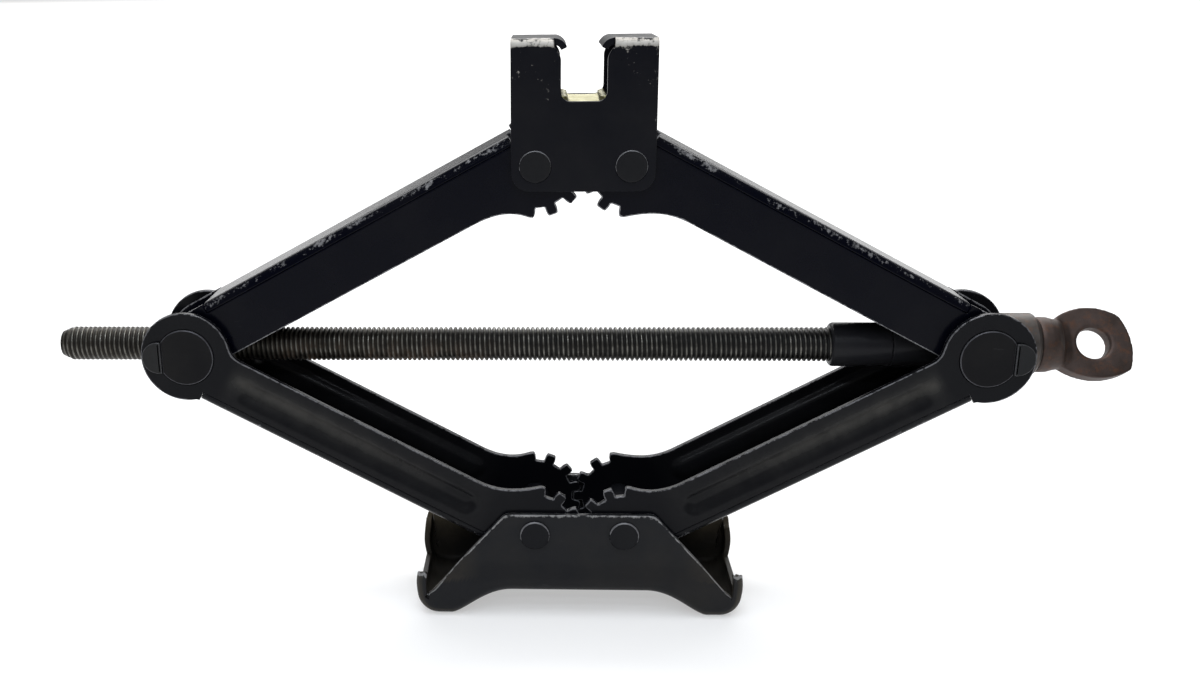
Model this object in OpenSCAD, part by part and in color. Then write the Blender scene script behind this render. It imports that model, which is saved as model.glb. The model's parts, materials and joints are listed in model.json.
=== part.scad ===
// Scissor jack with a hand-turned lead screw, a slotted saddle and a pressed foot.
// Millimetres. +X runs along the screw towards the crank eye, +Z is up.
// The origin is on the ground, midway between the two feet.

/* [Linkage] */
// Distance between the two pivots of one arm
arm_length = 160; // [120:1:190]
// Distance between the two gear pivots, at the foot and at the saddle
pivot_spacing = 36.8; // [34:0.2:44]
// Angle of the arms above the horizontal in the stored position
rest_angle = 28.2; // [10:0.2:50]
// Height of the lower gear pivots above the ground
base_pivot_height = 36.4; // [30:0.2:45]

/* [Sheet metal] */
// Thickness of the arm sheet
arm_sheet = 2.5; // [2:0.1:3]
// Thickness of the foot and saddle sheet
plate_sheet = 2.5; // [2:0.1:3]
// Half the outside width of a lower arm
lower_half_width = 20.7; // [20:0.1:24]
// Half the outside width of an upper arm
upper_half_width = 15.8; // [15:0.1:16]
// Depth of the long channel pressed into each lower flange
emboss_depth = 2; // [1:0.1:2.2]
// Side gap between neighbouring sheets
side_gap = 0.3; // [0.2:0.05:0.5]

/* [Lower arm] */
// From the pivot line to the open edge of a lower flange
lower_open = 8.5; // [7:0.1:10]
// From the pivot line to the outside of a lower web
lower_web = 14.1; // [12:0.1:15]
// Radius of the lower flange around the trunnion
joint_disc_radius = 18.2; // [16:0.1:19]

/* [Upper arm] */
// From the pivot line to the open edge of an upper flange
upper_open = 8.9; // [8:0.1:11]
// From the pivot line to the outside of an upper web
upper_web = 14.7; // [14:0.1:16]

/* [Gears] */
// Teeth that a full turn would hold
gear_teeth = 13; // [12:1:16]
// Tip radius of the gear teeth beyond the pitch radius
gear_addendum = 2; // [1.5:0.1:2.4]
// Root radius below the pitch radius
gear_dedendum = 3; // [2.6:0.1:3.4]

/* [Pins and trunnions] */
// Diameter of the gear pivot pins
pin_diameter = 12.4; // [10:0.1:13]
// Diameter of the trunnion bars
trunnion_diameter = 23; // [20:0.5:24]
// Distance from a trunnion's axis to the flat on its outer side
trunnion_flat = 9.6; // [9:0.1:10.5]
// Radial clearance of a turning pin in its hole
running_gap = 0.05; // [0.02:0.01:0.1]

/* [Screw] */
// Outside diameter of the lead screw thread
screw_diameter = 14; // [12:1:16]
// Length of screw that stands out beyond the nut
screw_tail = 57; // [30:1:70]
// Outside diameter of the stop and spacer sleeves
sleeve_diameter = 18; // [16:0.5:18]
// Reach of the stop sleeve from the bearing trunnion's axis
sleeve_reach = 58; // [40:1:70]
// Hole through the crank eye
eye_hole_diameter = 13; // [8:0.5:14]
// Thickness of the flattened eye
eye_thickness = 6.5; // [6:0.5:10]
// From the bearing trunnion's axis to the crank eye's hole
eye_reach = 47; // [42:0.5:55]
// How far the eye's face leans back in the stored position
eye_turn = 32; // [0:1:60]

/* [Saddle] */
// Width of the saddle along the screw
saddle_width = 55.2; // [50:0.2:60]
// Top of the saddle above the upper gear pivots
saddle_rise = 47.5; // [40:0.5:55]
// Bottom of the saddle below the upper gear pivots
saddle_drop = 9.6; // [8:0.2:11]
// Width of the lifting notch
notch_width = 17.4; // [14:0.2:20]
// Floor of the lifting notch above the upper gear pivots
notch_floor = 24.4; // [22:0.2:30]

/* [Foot] */
// Half the length of the foot's top edge
foot_top_half = 33.6; // [30:0.2:38]
// Top edge of the foot above the lower gear pivots
foot_top_rise = 8.9; // [8:0.1:12]
// Half the overall length of the foot
foot_half_length = 68; // [60:1:75]
// Height of the arched floor between the feet
foot_arch = 11; // [4:0.2:14]
// How far each side plate flares out towards the ground
foot_flare = 3.2; // [0:0.1:6]

/* [Hidden] */
$fn = 64;
eps = 0.01;

// Linkage in the stored position
half_spacing = pivot_spacing / 2;
side_x = half_spacing + arm_length * cos(rest_angle);
side_z = base_pivot_height + arm_length * sin(rest_angle);
saddle_z = base_pivot_height + 2 * arm_length * sin(rest_angle);

// Gear segments
tooth_pitch = 360 / gear_teeth;
pressure_angle = 20;
base_radius = half_spacing * cos(pressure_angle);
tip_radius = half_spacing + gear_addendum;
root_radius = half_spacing - gear_dedendum;
backlash_angle = 0.45;
flank_steps = 8;

// Radii of pins, trunnions and the holes they turn in
pin_r = pin_diameter / 2;
pin_hole_r = pin_r + running_gap;
trunnion_r = trunnion_diameter / 2;
trunnion_hole_r = trunnion_r + running_gap;
screw_r = screw_diameter / 2;
screw_hole_r = screw_r + running_gap;
foot_pin_rise = 1.2;
saddle_pin_rise = 0.3;

// Widths across the jack
saddle_inner = upper_half_width + side_gap;
saddle_outer = saddle_inner + plate_sheet;
foot_inner = lower_half_width + side_gap;
foot_outer = foot_inner + plate_sheet;
trunnion_half = lower_half_width + 0.7;

// Ends of the arms' webs, and the curve from the open edge up to the gear's shoulder
lower_web_start = 8;
upper_web_start = 4;
web_end_gap = 16;
shoulder_bend = [16.2, 11.3];
shoulder_reach = 24;

// Long channel pressed into the lower flanges
emboss_start = 25;
emboss_end = arm_length - 22;
emboss_top = 4.2;
emboss_bottom = -8.6;
emboss_wall = 1.6;

// Retaining key on the flat of each trunnion end
key_radius = 6.5;
key_centre = trunnion_flat + 1.2;
key_half = trunnion_half + 1.0;

// Thrust bearing between the bearing trunnion and the cup on the screw
race_r = 11;
race_bore_r = 7.3;
race_thickness = 2;
ball_r = 1.5;
ball_count = 14;
ball_ring_r = 9.2;
ball_gap = 0.1;
race_fixed_x = trunnion_flat;
balls_x = race_fixed_x + race_thickness + ball_gap + ball_r;
race_turning_x = balls_x + ball_r + 3 * ball_gap;
cup_r = 12.9;
cup_pocket_r = 11.8;
cup_start = trunnion_flat + 0.6;
cup_end = 22.1;
cup_chamfer = 2;
boss_r = 12.8;

// Spacer sleeve, and the crank eye
spacer_reach = sleeve_reach / 2 + 5;
neck_r = 10.8;
neck_end = 34;
eye_top_arc = [-1.2, -7.7, 22.5];
eye_low_arc = [1, 10.3, 24.9];
eye_end_arc = [-10.2, -2.7, 25.3];

// Foot
foot_x = 58;
foot_low_half = 60;
ramp_start = 32;
front_lip_top = 19.4;
rear_lip_top = 25.4;
lip_depth = 6;
lip_root = 5;
bend_z = 26.4;
toe_radius = 8;
foot_corner = 5;
foot_corner_low = [foot_top_half - 1.2, base_pivot_height + foot_top_rise - 2.2];

// Involute function in degrees, and half the angle that a tooth fills at radius r
function involute(a) = tan(a) * 180 / PI - a;
function half_tooth(r) = 90 / gear_teeth - backlash_angle
    + involute(pressure_angle) - involute(acos(min(1, base_radius / r)));

// A point at radius r and angle a, measured up from the direction of the partner gear
function gear_point(r, a) = [-r * cos(a), r * sin(a)];

function tooth_points(a) = let (
    radii = [for (i = [0:flank_steps])
        base_radius + (tip_radius - base_radius) * i / flank_steps]
) concat(
    [gear_point(root_radius - 1, a - half_tooth(base_radius))],
    [for (r = radii) gear_point(r, a - half_tooth(r))],
    [for (i = [flank_steps:-1:0]) gear_point(radii[i], a + half_tooth(radii[i]))],
    [gear_point(root_radius - 1, a + half_tooth(base_radius))]
);

function bezier(p0, p1, p2, p3, steps) = [for (i = [0:steps]) let (t = i / steps, s = 1 - t)
    s * s * s * p0 + 3 * s * s * t * p1 + 3 * s * t * t * p2 + t * t * t * p3];

// Outline of a sheet of thickness t around a centre line of points
function path_normal(p, i) = let (
    a = p[max(0, i - 1)], b = p[min(len(p) - 1, i + 1)], d = (b - a) / norm(b - a)
) [-d[1], d[0]];
function sheet_band(p, t) = concat(
    [for (i = [0:len(p) - 1]) p[i] + path_normal(p, i) * t / 2],
    [for (i = [len(p) - 1:-1:0]) p[i] - path_normal(p, i) * t / 2]
);

// Extrudes an outline drawn in X and Z between two values of Y
module slab(y_low, y_high) {
    translate([0, y_high, 0]) rotate([90, 0, 0]) linear_extrude(y_high - y_low) children();
}

// The same slab on both sides of the jack
module side_slabs(y_inner, y_outer) {
    slab(-y_outer, -y_inner) children();
    slab(y_inner, y_outer) children();
}

// A round bar along Y or along X
module bar_y(r, half) {
    rotate([90, 0, 0]) cylinder(r = r, h = 2 * half, center = true);
}
module bar_x(r, x_low, x_high) {
    translate([x_low, 0, 0]) rotate([0, 90, 0]) cylinder(r = r, h = x_high - x_low);
}

// Places a shape in one arm's frame: u along X and w along Y of a 2D outline
module along_arm() {
    rotate(rest_angle) children();
}

// Outline of one flange, with the gear pivot at the origin and the arm rising to +X.
// odd_teeth shifts the teeth by half a pitch. Each arm has one kind in front and the other
// behind, so that left and right arms are the same stamping turned round, and they mesh.
module flange_outline(open_edge, web_edge, end_radius, odd_teeth) {
    first = odd_teeth ? -tooth_pitch * 1.5 : -tooth_pitch;
    shoulder = first + tooth_pitch * (odd_teeth ? 5 : 4);
    shoulder_angle = 180 - shoulder - rest_angle;
    edge_start = tip_radius * [cos(shoulder_angle), sin(shoulder_angle)];
    circle(r = root_radius);
    for (a = [first:tooth_pitch:shoulder + eps]) polygon(tooth_points(a));
    along_arm() {
        polygon(concat(
            [[0, 0]],
            bezier(edge_start, shoulder_bend, [shoulder_reach - 1.4, open_edge - 0.2],
                [shoulder_reach + open_edge, open_edge], 10),
            [[arm_length, open_edge], [arm_length, -web_edge], [0, -web_edge]]
        ));
        circle(r = web_edge);
        translate([arm_length, 0]) circle(r = end_radius);
    }
}

module flange_holes() {
    along_arm() {
        circle(r = pin_hole_r);
        translate([arm_length, 0]) circle(r = trunnion_hole_r);
    }
}

// Long round-ended outline, grown by a margin
module emboss_outline(margin) {
    r = (emboss_top - emboss_bottom) / 2;
    mid = (emboss_top + emboss_bottom) / 2;
    along_arm() {
        translate([emboss_start + r, mid]) circle(r = r + margin);
        translate([emboss_end - r, mid]) circle(r = r + margin);
        translate([emboss_start + r, mid - r - margin])
            square([emboss_end - emboss_start - 2 * r, 2 * (r + margin)]);
    }
}

module web_outline(web_edge, start) {
    along_arm() translate([start, -web_edge])
        square([arm_length - web_end_gap - start, arm_sheet]);
}

// The two flanges of one arm; front_odd says which kind of teeth the front one has
module arm_flanges(half_width, open_edge, web_edge, end_radius, front_odd) {
    for (odd_teeth = [false, true]) {
        y_low = odd_teeth == front_odd ? -half_width : half_width - arm_sheet;
        slab(y_low, y_low + arm_sheet) difference() {
            flange_outline(open_edge, web_edge, end_radius, odd_teeth);
            flange_holes();
        }
    }
}

// Channel arm with its gear pivot at the origin, rising to +X, open side up
module lower_arm(front_odd) {
    inner = lower_half_width - arm_sheet;
    difference() {
        union() {
            arm_flanges(lower_half_width, lower_open, lower_web, joint_disc_radius, front_odd);
            side_slabs(inner - emboss_depth, inner + eps) emboss_outline(0);
            slab(-inner - eps, inner + eps) web_outline(lower_web, lower_web_start);
        }
        side_slabs(lower_half_width - emboss_depth, lower_half_width + 1) emboss_outline(-emboss_wall);
    }
}

module upper_arm(front_odd) {
    inner = upper_half_width - arm_sheet;
    arm_flanges(upper_half_width, upper_open, upper_web, upper_web, front_odd);
    slab(-inner - eps, inner + eps) web_outline(upper_web, upper_web_start);
}

module lower_arm_left() {
    color("#1c1d20") translate([-half_spacing, 0, base_pivot_height]) mirror([1, 0, 0]) lower_arm(false);
}

module lower_arm_right() {
    color("#1c1d20") translate([half_spacing, 0, base_pivot_height]) lower_arm(true);
}

module upper_arm_left() {
    color("#14161f") translate([-half_spacing, 0, saddle_z])
        mirror([1, 0, 0]) mirror([0, 0, 1]) upper_arm(true);
}

module upper_arm_right() {
    color("#14161f") translate([half_spacing, 0, saddle_z]) mirror([0, 0, 1]) upper_arm(false);
}

// Pins pressed into the foot or the saddle; their ends stand out of the plates
module base_pin(side) {
    color("#24262a") translate([side * half_spacing, 0, base_pivot_height])
        bar_y(pin_r, foot_outer + foot_pin_rise);
}

module saddle_pin(side) {
    color("#24262a") translate([side * half_spacing, 0, saddle_z])
        bar_y(pin_r, saddle_outer + saddle_pin_rise);
}

module base_pin_left() { base_pin(-1); }
module base_pin_right() { base_pin(1); }
module saddle_pin_left() { saddle_pin(-1); }
module saddle_pin_right() { saddle_pin(1); }

// Bar across both arms with a flat on its outer side (+X)
module trunnion_bar() {
    difference() {
        bar_y(trunnion_r, trunnion_half);
        translate([trunnion_flat, -2 * trunnion_half, -trunnion_r])
            cube([trunnion_r, 4 * trunnion_half, 2 * trunnion_r]);
    }
}

module nut_trunnion() {
    color("#2a2b2d") translate([-side_x, 0, side_z]) difference() {
        mirror([1, 0, 0]) trunnion_bar();
        bar_x(screw_hole_r, -2 * trunnion_r, 2 * trunnion_r);
    }
}

module bearing_trunnion() {
    color("#2a2b2d") translate([side_x, 0, side_z]) difference() {
        union() {
            trunnion_bar();
            bar_x(boss_r, 0, trunnion_flat);
        }
        bar_x(screw_hole_r, -2 * trunnion_r, 2 * trunnion_r);
    }
}

// Half-round key staked to a trunnion's flat; it keeps the bar from sliding out of the arms
module retaining_key(side, face) {
    y_inner = lower_half_width + side_gap / 2;
    translate([side * side_x, 0, side_z]) difference() {
        slab(face < 0 ? -key_half : y_inner, face < 0 ? -y_inner : key_half)
            translate([side * key_centre, 0]) circle(r = key_radius);
        translate([side > 0 ? 0 : -trunnion_flat, -2 * trunnion_half, -trunnion_r])
            cube([trunnion_flat, 4 * trunnion_half, 2 * trunnion_r]);
    }
}

module nut_key_front() { color("#2e3033") retaining_key(-1, -1); }
module nut_key_rear() { color("#2e3033") retaining_key(-1, 1); }
module bearing_key_front() { color("#2e3033") retaining_key(1, -1); }
module bearing_key_rear() { color("#2e3033") retaining_key(1, 1); }

// Flattened end of the screw with the hole that takes the crank. Its top, underside and end
// are shallow arcs, each given by its centre and radius from the hole's centre.
module eye_arc(arc) {
    translate([arc[0], arc[1]]) circle(r = arc[2]);
}

module eye_outline() {
    start = neck_end - 1 - eye_reach;
    intersection() {
        eye_arc(eye_top_arc);
        eye_arc(eye_low_arc);
        eye_arc(eye_end_arc);
        translate([start, -eye_reach]) square(2 * eye_reach);
    }
}

module lead_screw() {
    tip_length = 5;
    tip_r = 5.2;
    color("#5b5a48") translate([0, 0, side_z]) {
        bar_x(screw_r, -side_x - screw_tail + tip_length, side_x + neck_end - 1);
        translate([-side_x - screw_tail, 0, 0]) rotate([0, 90, 0])
            cylinder(r1 = tip_r, r2 = screw_r, h = tip_length);
        translate([side_x, 0, 0]) difference() {
            union() {
                bar_x(neck_r, cup_end + cup_chamfer, neck_end);
                rotate([-eye_turn, 0, 0]) slab(-eye_thickness / 2, eye_thickness / 2)
                    translate([eye_reach, 0]) eye_outline();
            }
            rotate([-eye_turn, 0, 0]) translate([eye_reach, 0, 0])
                bar_y(eye_hole_diameter / 2, eye_thickness);
        }
    }
}

// Sleeve on the screw, between two distances inboard of the bearing trunnion's axis
module screw_sleeve(far, near) {
    translate([side_x, 0, side_z]) difference() {
        bar_x(sleeve_diameter / 2, -far, -near);
        bar_x(screw_r, -far - 1, -near + 1);
    }
}

module stop_sleeve() { color("#1d1f22") screw_sleeve(sleeve_reach, spacer_reach); }
module spacer_sleeve() { color("#1d1f22") screw_sleeve(spacer_reach, trunnion_r + side_gap); }

module thrust_race(x_low) {
    translate([side_x, 0, side_z]) difference() {
        bar_x(race_r, x_low, x_low + race_thickness);
        bar_x(race_bore_r, x_low - 1, x_low + race_thickness + 1);
    }
}

module thrust_race_fixed() { color("#8c8c88") thrust_race(race_fixed_x); }
module thrust_race_turning() { color("#8c8c88") thrust_race(race_turning_x); }

module thrust_balls() {
    color("#b8b8b4") for (i = [0:ball_count - 1])
        translate([side_x + balls_x, 0, side_z]) rotate([i * 360 / ball_count, 0, 0])
            translate([0, 0, ball_ring_r]) sphere(r = ball_r);
}

// Cup on the screw that covers the thrust bearing and takes its load
module thrust_cup() {
    color("#5a5048") translate([side_x, 0, side_z]) difference() {
        union() {
            bar_x(cup_r, cup_start, cup_end);
            translate([cup_end, 0, 0]) rotate([0, 90, 0])
                cylinder(r1 = cup_r, r2 = cup_r - cup_chamfer, h = cup_chamfer);
        }
        bar_x(cup_pocket_r, cup_start - 1, race_turning_x + race_thickness);
        bar_x(screw_r, cup_start - 1, cup_end + 1);
        bar_x(neck_r - 1, cup_end + 1, cup_end + cup_chamfer + 1);
    }
}

// One side plate of the saddle, with the lifting notch open at the top
module saddle_plate_outline() {
    half = saddle_width / 2;
    corner = 7;
    notch_half = notch_width / 2;
    notch_corner = 3.5;
    low = saddle_z - saddle_drop;
    high = saddle_z + saddle_rise;
    floor_z = saddle_z + notch_floor;
    difference() {
        union() {
            translate([-half, low + corner]) square([2 * half, high - low - corner]);
            translate([-half + corner, low]) square([2 * (half - corner), corner + eps]);
            for (s = [-1, 1]) translate([s * (half - corner), low + corner]) circle(r = corner);
        }
        translate([-notch_half, floor_z + notch_corner]) square([2 * notch_half, saddle_rise]);
        translate([-notch_half + notch_corner, floor_z])
            square([2 * (notch_half - notch_corner), notch_corner]);
        for (s = [-1, 1]) translate([s * (notch_half - notch_corner), floor_z + notch_corner])
            circle(r = notch_corner);
        for (s = [-1, 1]) translate([s * half_spacing, saddle_z]) circle(r = pin_r);
    }
}

// Top flange of one jaw, with its inner end curled down into the notch
module saddle_flange_outline() {
    half = saddle_width / 2;
    top = saddle_z + saddle_rise - plate_sheet / 2;
    curl_x = -notch_width / 2 - 2.6;
    curl_r = 4;
    polygon(sheet_band(concat(
        [[-half, top], [curl_x, top]],
        [for (a = [75:-15:25]) [curl_x + curl_r * cos(a), top - curl_r + curl_r * sin(a)]]
    ), plate_sheet));
}

module saddle_bracket() {
    color("#15171c") {
        side_slabs(saddle_inner, saddle_outer) saddle_plate_outline();
        for (s = [0, 1]) mirror([s, 0, 0]) slab(-saddle_outer, saddle_outer) saddle_flange_outline();
    }
}

// Plated cradle that lines the floor of the notch between the two plates
module saddle_insert() {
    half = notch_width / 2;
    thickness = 2.4;
    floor_z = saddle_z + notch_floor;
    wall = 5;
    bend_r = 3;
    bend_x = half - 0.6 - bend_r;
    bend_top = floor_z + bend_r - thickness / 2;
    groove_pitch = 6;
    groove_width = 2;
    groove_depth = 0.6;
    color("#b9b48a") difference() {
        slab(-saddle_inner, saddle_inner) polygon(sheet_band(concat(
            [[-bend_x - bend_r, floor_z + wall]],
            [for (a = [180:15:270]) [bend_r * cos(a) - bend_x, bend_top + bend_r * sin(a)]],
            [for (a = [270:15:360]) [bend_r * cos(a) + bend_x, bend_top + bend_r * sin(a)]],
            [[bend_x + bend_r, floor_z + wall]]
        ), thickness));
        for (i = [-2:2]) translate([-bend_x, i * groove_pitch - groove_width / 2, floor_z - groove_depth])
            cube([2 * bend_x, groove_width, 2 * groove_depth]);
    }
}

// Front outline of a foot side plate; the rear plate keeps more height at its ends
module foot_plate_outline(end_x, end_z) {
    top_z = base_pivot_height + foot_top_rise;
    right = concat(
        [[foot_top_half - foot_corner, top_z], foot_corner_low, [end_x, end_z]],
        foot_underside(1)
    );
    polygon(concat(right, [for (i = [len(right) - 1:-1:0]) [-right[i][0], right[i][1]]]));
}

// Underside of the foot from its outer end to the arch, on one side
function foot_underside(side) = [for (p = concat(
    [[foot_half_length - 2.2, foot_arch + 0.6], [foot_half_length - 3.6, 3.6], [foot_x + 2, 0]],
    ramp_curve(0)
)) [side * p[0], p[1]]];

// The ramp from a foot up to the arch, raised by h
function ramp_curve(h) = bezier([foot_x - 5, h], [foot_x - 12, h + 2.5],
    [ramp_start + 8, foot_arch + h], [ramp_start - 4, foot_arch + h], 8);

// Centre line of the floor sheet, from the arch out to the upturned end
function floor_path() = let (h = plate_sheet / 2) concat(
    [[0, foot_arch + h]],
    [for (i = [8:-1:0]) ramp_curve(h)[i]],
    [for (a = [-90:15:-15]) [foot_half_length - h - toe_radius + toe_radius * cos(a),
        h + toe_radius + toe_radius * sin(a)]]
);

module foot_side_plate(y_sign, end_x, end_z) {
    mid = foot_outer - plate_sheet / 2;
    top_z = base_pivot_height + foot_top_rise;
    intersection() {
        slab(-foot_outer - foot_flare - 2, foot_outer + foot_flare + 2) foot_plate_outline(end_x, end_z);
        rotate([90, 0, 90]) translate([0, 0, -foot_half_length]) linear_extrude(2 * foot_half_length)
            polygon(sheet_band([
                [y_sign * mid, top_z + 1], [y_sign * mid, bend_z],
                [y_sign * (mid + foot_flare), foot_arch], [y_sign * (mid + foot_flare), -1]
            ], plate_sheet));
    }
}

// Short upright lip at each corner of the foot, turned up out of the floor
module foot_lip(x_sign, y_sign, top_z) {
    y_far = foot_outer + foot_flare;
    x_far = foot_half_length;
    x_low = x_sign > 0 ? x_far - plate_sheet : -x_far;
    translate([x_low, y_sign > 0 ? y_far - lip_depth : -y_far, lip_root])
        cube([plate_sheet, lip_depth, top_z - lip_root]);
}

module base_bracket() {
    width = foot_outer + foot_flare;
    color("#1a1b1d") difference() {
        union() {
            foot_side_plate(-1, foot_low_half, foot_arch + 1);
            foot_side_plate(1, foot_half_length - 3, rear_lip_top + 2);
            for (s = [0, 1]) mirror([s, 0, 0])
                slab(-width, width) polygon(sheet_band(floor_path(), plate_sheet));
            for (s = [-1, 1]) {
                foot_lip(s, -1, front_lip_top);
                foot_lip(s, 1, rear_lip_top);
            }
        }
        for (s = [-1, 1]) translate([s * half_spacing, 0, base_pivot_height]) bar_y(pin_r, 2 * foot_outer);
    }
}

base_bracket();
base_pin_left();
base_pin_right();
lower_arm_left();
lower_arm_right();
upper_arm_left();
upper_arm_right();
nut_trunnion();
nut_key_front();
nut_key_rear();
bearing_trunnion();
bearing_key_front();
bearing_key_rear();
lead_screw();
stop_sleeve();
spacer_sleeve();
thrust_race_fixed();
thrust_balls();
thrust_race_turning();
thrust_cup();
saddle_bracket();
saddle_insert();
saddle_pin_left();
saddle_pin_right();
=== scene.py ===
"""A scissor jack in black paint: sheet-metal arms, foot and saddle, a rolled thread and a forged crank eye.

Metres. +X runs along the screw towards the crank eye, +Y to the rear, +Z up.
"""
import json
from math import acos, asin, atan2, ceil, copysign, cos, hypot, pi, radians, sin, sqrt, tan

import bmesh
import bpy
import numpy as np
from mathutils import Matrix, Vector, geometry


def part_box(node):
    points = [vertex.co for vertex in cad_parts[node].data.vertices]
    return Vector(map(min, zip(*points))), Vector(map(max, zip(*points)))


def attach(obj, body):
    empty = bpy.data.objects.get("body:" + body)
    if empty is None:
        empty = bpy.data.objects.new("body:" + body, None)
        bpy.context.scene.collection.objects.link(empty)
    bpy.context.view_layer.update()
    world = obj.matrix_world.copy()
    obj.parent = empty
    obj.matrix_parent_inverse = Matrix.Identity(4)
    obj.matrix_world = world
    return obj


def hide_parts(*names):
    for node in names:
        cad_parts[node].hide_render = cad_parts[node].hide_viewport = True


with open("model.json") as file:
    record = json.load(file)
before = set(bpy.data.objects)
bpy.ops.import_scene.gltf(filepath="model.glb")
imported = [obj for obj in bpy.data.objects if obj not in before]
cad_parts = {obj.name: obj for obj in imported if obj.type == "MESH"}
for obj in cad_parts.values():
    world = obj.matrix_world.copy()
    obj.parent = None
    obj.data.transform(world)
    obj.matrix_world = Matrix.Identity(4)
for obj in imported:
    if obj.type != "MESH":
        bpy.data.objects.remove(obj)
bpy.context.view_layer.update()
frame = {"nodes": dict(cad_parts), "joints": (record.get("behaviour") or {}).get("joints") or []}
MM = 0.001

# ---------------------------------------------------------------- sizes taken from the frame
joints = {j["name"]: j for j in frame["joints"]}


def pivot(name):
    return np.array(joints[name]["pos_m"], float)


foot_pivot = pivot("lower_right_fold")
side_pivot = pivot("bearing_swivel")
saddle_pivot = pivot("saddle_level")
half_spacing = foot_pivot[0]
arm_vector = side_pivot - foot_pivot
arm_length = float(np.hypot(arm_vector[0], arm_vector[2]))
rest_angle = atan2(arm_vector[2], arm_vector[0])
side_x, side_z = side_pivot[0], side_pivot[2]
saddle_z = saddle_pivot[2]
foot_z = foot_pivot[2]

sheet = 2.5 * MM
lower_half_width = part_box("lower_arm_left")[1].y
upper_half_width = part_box("upper_arm_left")[1].y
lower_open, lower_web, joint_disc = 8.5 * MM, 14.1 * MM, 18.2 * MM
upper_open, upper_web = 8.9 * MM, 14.7 * MM
pin_r = (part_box("base_pin_right")[1].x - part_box("base_pin_right")[0].x) / 2
trunnion_r = (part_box("nut_trunnion")[1].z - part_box("nut_trunnion")[0].z) / 2
trunnion_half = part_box("nut_trunnion")[1].y
trunnion_flat = 9.6 * MM
running_gap = 0.05 * MM

# gear segments
gear_teeth = 13
tooth_pitch = 2 * pi / gear_teeth
pressure_angle = radians(20)
base_radius = half_spacing * cos(pressure_angle)
tip_radius = half_spacing + 1.8 * MM
root_radius = half_spacing - 3 * MM
backlash = radians(0.45)
worn_root = root_radius + 1.0 * MM  # paint and burrs fill the gaps between the teeth


# ---------------------------------------------------------------- small mesh helpers
def new_object(name, verts, faces, body, replaced, material, wear=None, dust=None, flat_normals=True):
    """A piece that rides on a body, with two values for each point: worn edges with painted highlight and
    shade, and dust with painted light.
    """
    mesh = bpy.data.meshes.new(name)
    mesh.from_pydata([tuple(v) for v in verts], [], [tuple(int(i) for i in f) for f in faces])
    mesh.validate()
    obj = bpy.data.objects.new(name, mesh)
    bpy.context.scene.collection.objects.link(obj)
    if flat_normals:  # large faces decide the shading at their rounded edges
        modifier = obj.modifiers.new("normals", "WEIGHTED_NORMAL")
        modifier.keep_sharp = True
        modifier.weight = 80
    for kind, values in (("wear", wear), ("dust", dust)):
        if values is not None:
            attribute = mesh.attributes.new(kind, "FLOAT", "POINT")
            attribute.data.foreach_set("value", np.asarray(values, np.float32))
    mesh.materials.append(material)
    for p in mesh.polygons:
        p.use_smooth = True
    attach(obj, body)
    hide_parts(replaced)
    return obj


def grid_faces(rows, columns):
    """Quads of a grid whose points are listed row by row."""
    return [(i * columns + j, i * columns + j + 1, (i + 1) * columns + j + 1, (i + 1) * columns + j)
            for i in range(rows - 1) for j in range(columns - 1)]


def both_sides(rows, middle):
    """Rows that start with y, then the middle ones, then the first ones mirrored in y."""
    return rows + middle + [(-y, *rest) for y, *rest in rows[::-1]]


class Shell:
    """A sheet's mid-surface, gathered from patches, with a value for each point of worn paint and painted
    highlight.
    """

    def __init__(self):
        self.verts, self.faces, self.wear = [], [], []

    def add(self, points, faces, wear, turned):
        k = len(self.verts)
        self.verts.extend(tuple(p) for p in points)
        self.wear.extend(wear)
        self.faces.extend(tuple(k + i for i in (f[::-1] if turned else f)) for f in faces)

    def solid(self):
        return thicken(*weld(self.verts, self.faces, self.wear), sheet)


def unit(vector):
    return vector / max(np.linalg.norm(vector), 1e-20)


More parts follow.
